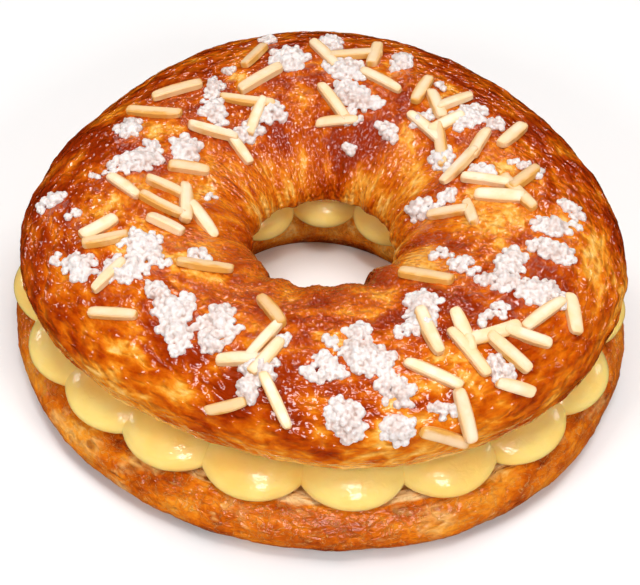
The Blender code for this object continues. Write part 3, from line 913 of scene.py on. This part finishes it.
sugar = {
    "nugget": (1.5 * mm, 2.5 * mm), "spacing": 2.98 * mm, "packing": 0.525, "finer": 1.6,
    "flatness": 0.85, "unevenness": (0.85, 1.2), "clumpStretch": (1.0, 1.35),
    "jitter": 0.7, "lift": 0.8,     # both in mm
    "moundShare": 0.25, "moundFrom": 10, "moundHeight": 1.6 * mm, "moundGrowth": 1.2,
    "voxel": 0.42 * mm, "crystal": 1.6 * mm, "crystalDepth": 0.42 * mm, "dome": 2.2,
    "domeLevel": 0.45, "seed": 11, "triangles": 190000,
    # the second colour is painted shade for the creases and hollows
    "colours": ((0.55, "#E4DBD7"), (1.0, "#CDB3A8")), "creaseShadeWeight": 0.2,
    "cloud": {"Scale": 1 / (9 * mm), "Detail": 2.0}, "crystals": {"Scale": 1 / (0.8 * mm)},
    "hollowShade": {"From Min": 0.40, "From Max": 0.50, "To Min": 0.45, "To Max": 0.0},
    "bump": {"Strength": 0.7, "Distance": 0.2 * mm},
    "finish": {"Roughness": 0.4, "IOR": 1.50, "Subsurface Weight": 0.9,
               "Subsurface Radius": (1.0, 0.85, 0.75), "Subsurface Scale": 1.4 * mm},
}


def makeSugar():
    # nuggets laid in a spiral over each clump, fused, then swollen round small crystals
    draw, jitter = random.Random(sugar["seed"]), sugar["jitter"]
    ball = bmesh.new()
    bmesh.ops.create_icosphere(ball, subdivisions=2, radius=1)
    golden = math.pi * (3 - math.sqrt(5))
    parts = []
    for index, (angle, radius, nuggets) in enumerate(clumpSpots):
        middle = crustFrame(angle, radius)
        nuggets = round(nuggets * sugar["finer"])
        mound = round(nuggets * sugar["moundShare"]) if nuggets >= sugar["moundFrom"] else 0
        stretch = draw.uniform(*sugar["clumpStretch"])
        heading = Matrix.Rotation(draw.uniform(0, math.pi), 3, 'Z')
        for item in range(nuggets + mound):
            top = item < mound
            step = item if top else item - mound
            reach = sugar["packing"] * sugar["spacing"] * math.sqrt(step + 0.6)
            turn = golden * step + index
            shift = heading @ Vector((reach * math.cos(turn) * stretch,
                                      reach * math.sin(turn) / stretch, 0))
            shift += Vector((draw.uniform(-jitter, jitter),
                             draw.uniform(-jitter, jitter), 0)) * mm
            spot = middle @ shift
            x, y = spot.x - bun["centre"][0], spot.y - bun["centre"][1]
            size = draw.uniform(*sugar["nugget"]) * (sugar["moundGrowth"] if top else 1)
            lift = sugar["moundHeight"] if top else draw.uniform(0, sugar["lift"]) * mm
            uneven = draw.uniform(*sugar["unevenness"])
            place = (crustFrame(math.atan2(y, x), math.hypot(x, y))
                     @ Matrix.Translation((0, 0, lift))
                     @ Matrix.Rotation(draw.uniform(0, math.pi), 4, 'Z')
                     @ Matrix.Diagonal((size * uneven, size / uneven,
                                        size * sugar["flatness"], 1)))
            parts.append((ball, place, []))
    piece = joinedPiece("pearlSugar", parts)
    reshape(piece, 'REMESH', mode='VOXEL', voxel_size=sugar["voxel"])
    mesh = piece.data
    outward = [vert.normal.copy() for vert in mesh.vertices]
    creaseShades = []
    for vert, out in zip(mesh.vertices, outward):
        near = noise.voronoi(vert.co / sugar["crystal"])[0][0]
        dome = 1 - sugar["dome"] * near * near
        vert.co += out * sugar["crystalDepth"] * (dome - sugar["domeLevel"])
        # points between the crystal domes get a painted shade value
        creaseShades.append(1 - smooth(dome))
    mesh.attributes.new("creaseShade", 'FLOAT', 'POINT').data.foreach_set("value", creaseShades)
    reshape(piece, 'DECIMATE', ratio=min(1, sugar["triangles"] / (2 * len(mesh.polygons))))
    piece.data.shade_smooth()
    return piece, len(parts)


def pearlSugar():
    # Pearl sugar: pressed white crystals, cloudy all through, with painted shade in the
    # creases between crystals and in the hollows, and a faint sparkle.
    material, tree, shader, creaseShade = newMaterial("pearl_sugar", "creaseShade")
    where = addNode(tree, "TexCoord").outputs["Object"]
    cloud = addNode(tree, "TexNoise", sugar["cloud"], {"Vector": where})
    # painted shade in the hollows, where the surface is least pointy
    hollowShade = addNode(tree, "MapRange", sugar["hollowShade"],
                     {"Value": addNode(tree, "NewGeometry").outputs["Pointiness"]})
    # random cloudiness plus painted shade in the creases and hollows
    cloudAndShade = addNode(tree, "Math", {"operation": 'MULTIPLY_ADD', 1: sugar["creaseShadeWeight"]},
                   {0: creaseShade, 2: cloud})
    cloudAndShade = addNode(tree, "Math", {"operation": 'ADD'}, {0: cloudAndShade, 1: hollowShade})
    colour = addNode(tree, "ValToRGB", None, {"Fac": cloudAndShade}, sugar["colours"])
    crystals = addNode(tree, "TexVoronoi", sugar["crystals"], {"Vector": where})
    bump = addNode(tree, "Bump", sugar["bump"], {"Height": crystals})
    fit(shader, sugar["finish"], {"Base Color": colour, "Normal": bump})
    return material


sugarPiece, nuggetCount = makeSugar()
wear(sugarPiece, pearlSugar(), "pearl_sugar")
print("sugar:", nuggetCount, "nuggets,", len(sugarPiece.data.polygons), "faces")


# Studio: pale floor, soft lights, softboxes for the glints, and the camera.

studio = {
    "floor": {"Base Color": linear("#F4F2F1"), "Roughness": 0.9},
    "floorRadius": 3.0, "floorSides": 64, "skyStrength": 0.26, "aim": (0, 0, 0.04),
    # place, size in metres, power in watts
    "lights": (
        ("overhead", (0.0, -0.12, 1.20), 0.60, 3.7),
        ("key", (0.06, -0.36, 1.15), 0.24, 3.0),
        ("backLeft", (-0.50, 0.45, 0.95), 0.24, 2.0),
        ("backRight", (0.55, 0.40, 0.95), 0.24, 2.0),
        ("frontLeft", (-0.52, -0.60, 0.68), 0.24, 3.2),
        ("frontRight", (0.52, -0.58, 0.68), 0.24, 3.1),
    ),
    # softboxes that only glint: place, size in metres, radiance in W per sr per m2
    "softboxes": (
        ("topBox", (0.05, -0.34, 1.15), 0.40, 13),
        ("frontBox", (0.16, -1.00, 1.05), 0.42, 13),
        ("backBox", (0.05, 0.85, 1.00), 0.32, 13),
        ("leftBox", (-0.90, 0.45, 0.42), 0.22, 7),
        ("rightBox", (0.90, 0.40, 0.42), 0.20, 5),
    ),
    # narrow lamp that whitens the paper in the hole
    "snoot": {"place": (0.02, -0.30, 1.10), "aim": (0, 0.01, 0), "power": 27,
              "coneDegrees": 3.6, "softness": 0.8, "bulb": 0.01},
}
camera = {
    "place": (0.0, -0.58649, 0.70838), "lookAt": (-0.00066, -0.01161, 0.03492),
    "roll": 2.75, "focalLength": 111.97, "sensorWidth": 36.0, "nearest": 0.01,
}


def facing(place, target):
    # placing matrix there, looking at the target
    turn = (Vector(target) - Vector(place)).to_track_quat('-Z', 'Y')
    return Matrix.Translation(place) @ turn.to_matrix().to_4x4()


def hangLamp(name, kind, place, aim, unseen, settings):
    # unseen names the kinds of ray that miss the lamp
    light = bpy.data.lights.new(name, kind)
    for key, value in settings.items():
        setattr(light, key, value)
    lamp = addObject(name, light, facing(place, aim))
    for ray in unseen:
        setattr(lamp, "visible_" + ray, False)


def makeStudio():
    mesh = bmesh.new()
    bmesh.ops.create_circle(mesh, cap_ends=True, segments=studio["floorSides"],
                            radius=studio["floorRadius"])
    data = bpy.data.meshes.new("floor")
    mesh.to_mesh(data)
    mesh.free()
    floor = addObject("floor", data)
    # Seamless paper: matt, nearly white
    material, _, shader = newMaterial("white_paper_sweep")
    fit(shader, studio["floor"])
    data.materials.append(material)
    floor.visible_glossy = False  # the paper doesn't mirror in the glaze
    for name, place, size, power in studio["lights"]:
        hangLamp(name, 'AREA', place, studio["aim"], ("glossy",),
                 {"shape": 'SQUARE', "size": size, "energy": power})
    for name, place, size, radiance in studio["softboxes"]:
        hangLamp(name, 'AREA', place, studio["aim"], ("diffuse", "transmission"),
                 {"shape": 'SQUARE', "size": size, "energy": radiance * math.pi * size * size})
    snoot = studio["snoot"]
    hangLamp("snoot", 'SPOT', snoot["place"], snoot["aim"], ("glossy",),
             {"spot_size": math.radians(snoot["coneDegrees"]), "energy": snoot["power"],
              "spot_blend": snoot["softness"], "shadow_soft_size": snoot["bulb"]})
    world = bpy.data.worlds.new("softRoom")
    world.use_nodes = True
    fit(world.node_tree.nodes["Background"],
        {"Color": (1, 1, 1, 1), "Strength": studio["skyStrength"]})
    bpy.context.scene.world = world
    world.cycles_visibility.glossy = False  # only the softboxes glint


def makeCamera():
    data = bpy.data.cameras.new("camera")
    data.lens = camera["focalLength"]
    data.sensor_width = camera["sensorWidth"]
    data.clip_start = camera["nearest"]
    bpy.context.scene.camera = addObject(
        "camera", data, facing(camera["place"], camera["lookAt"])
        @ Matrix.Rotation(math.radians(camera["roll"]), 4, 'Z'))


makeStudio()
makeCamera()
bpy.context.scene.view_settings.view_transform = 'Standard'
print("studio ready")
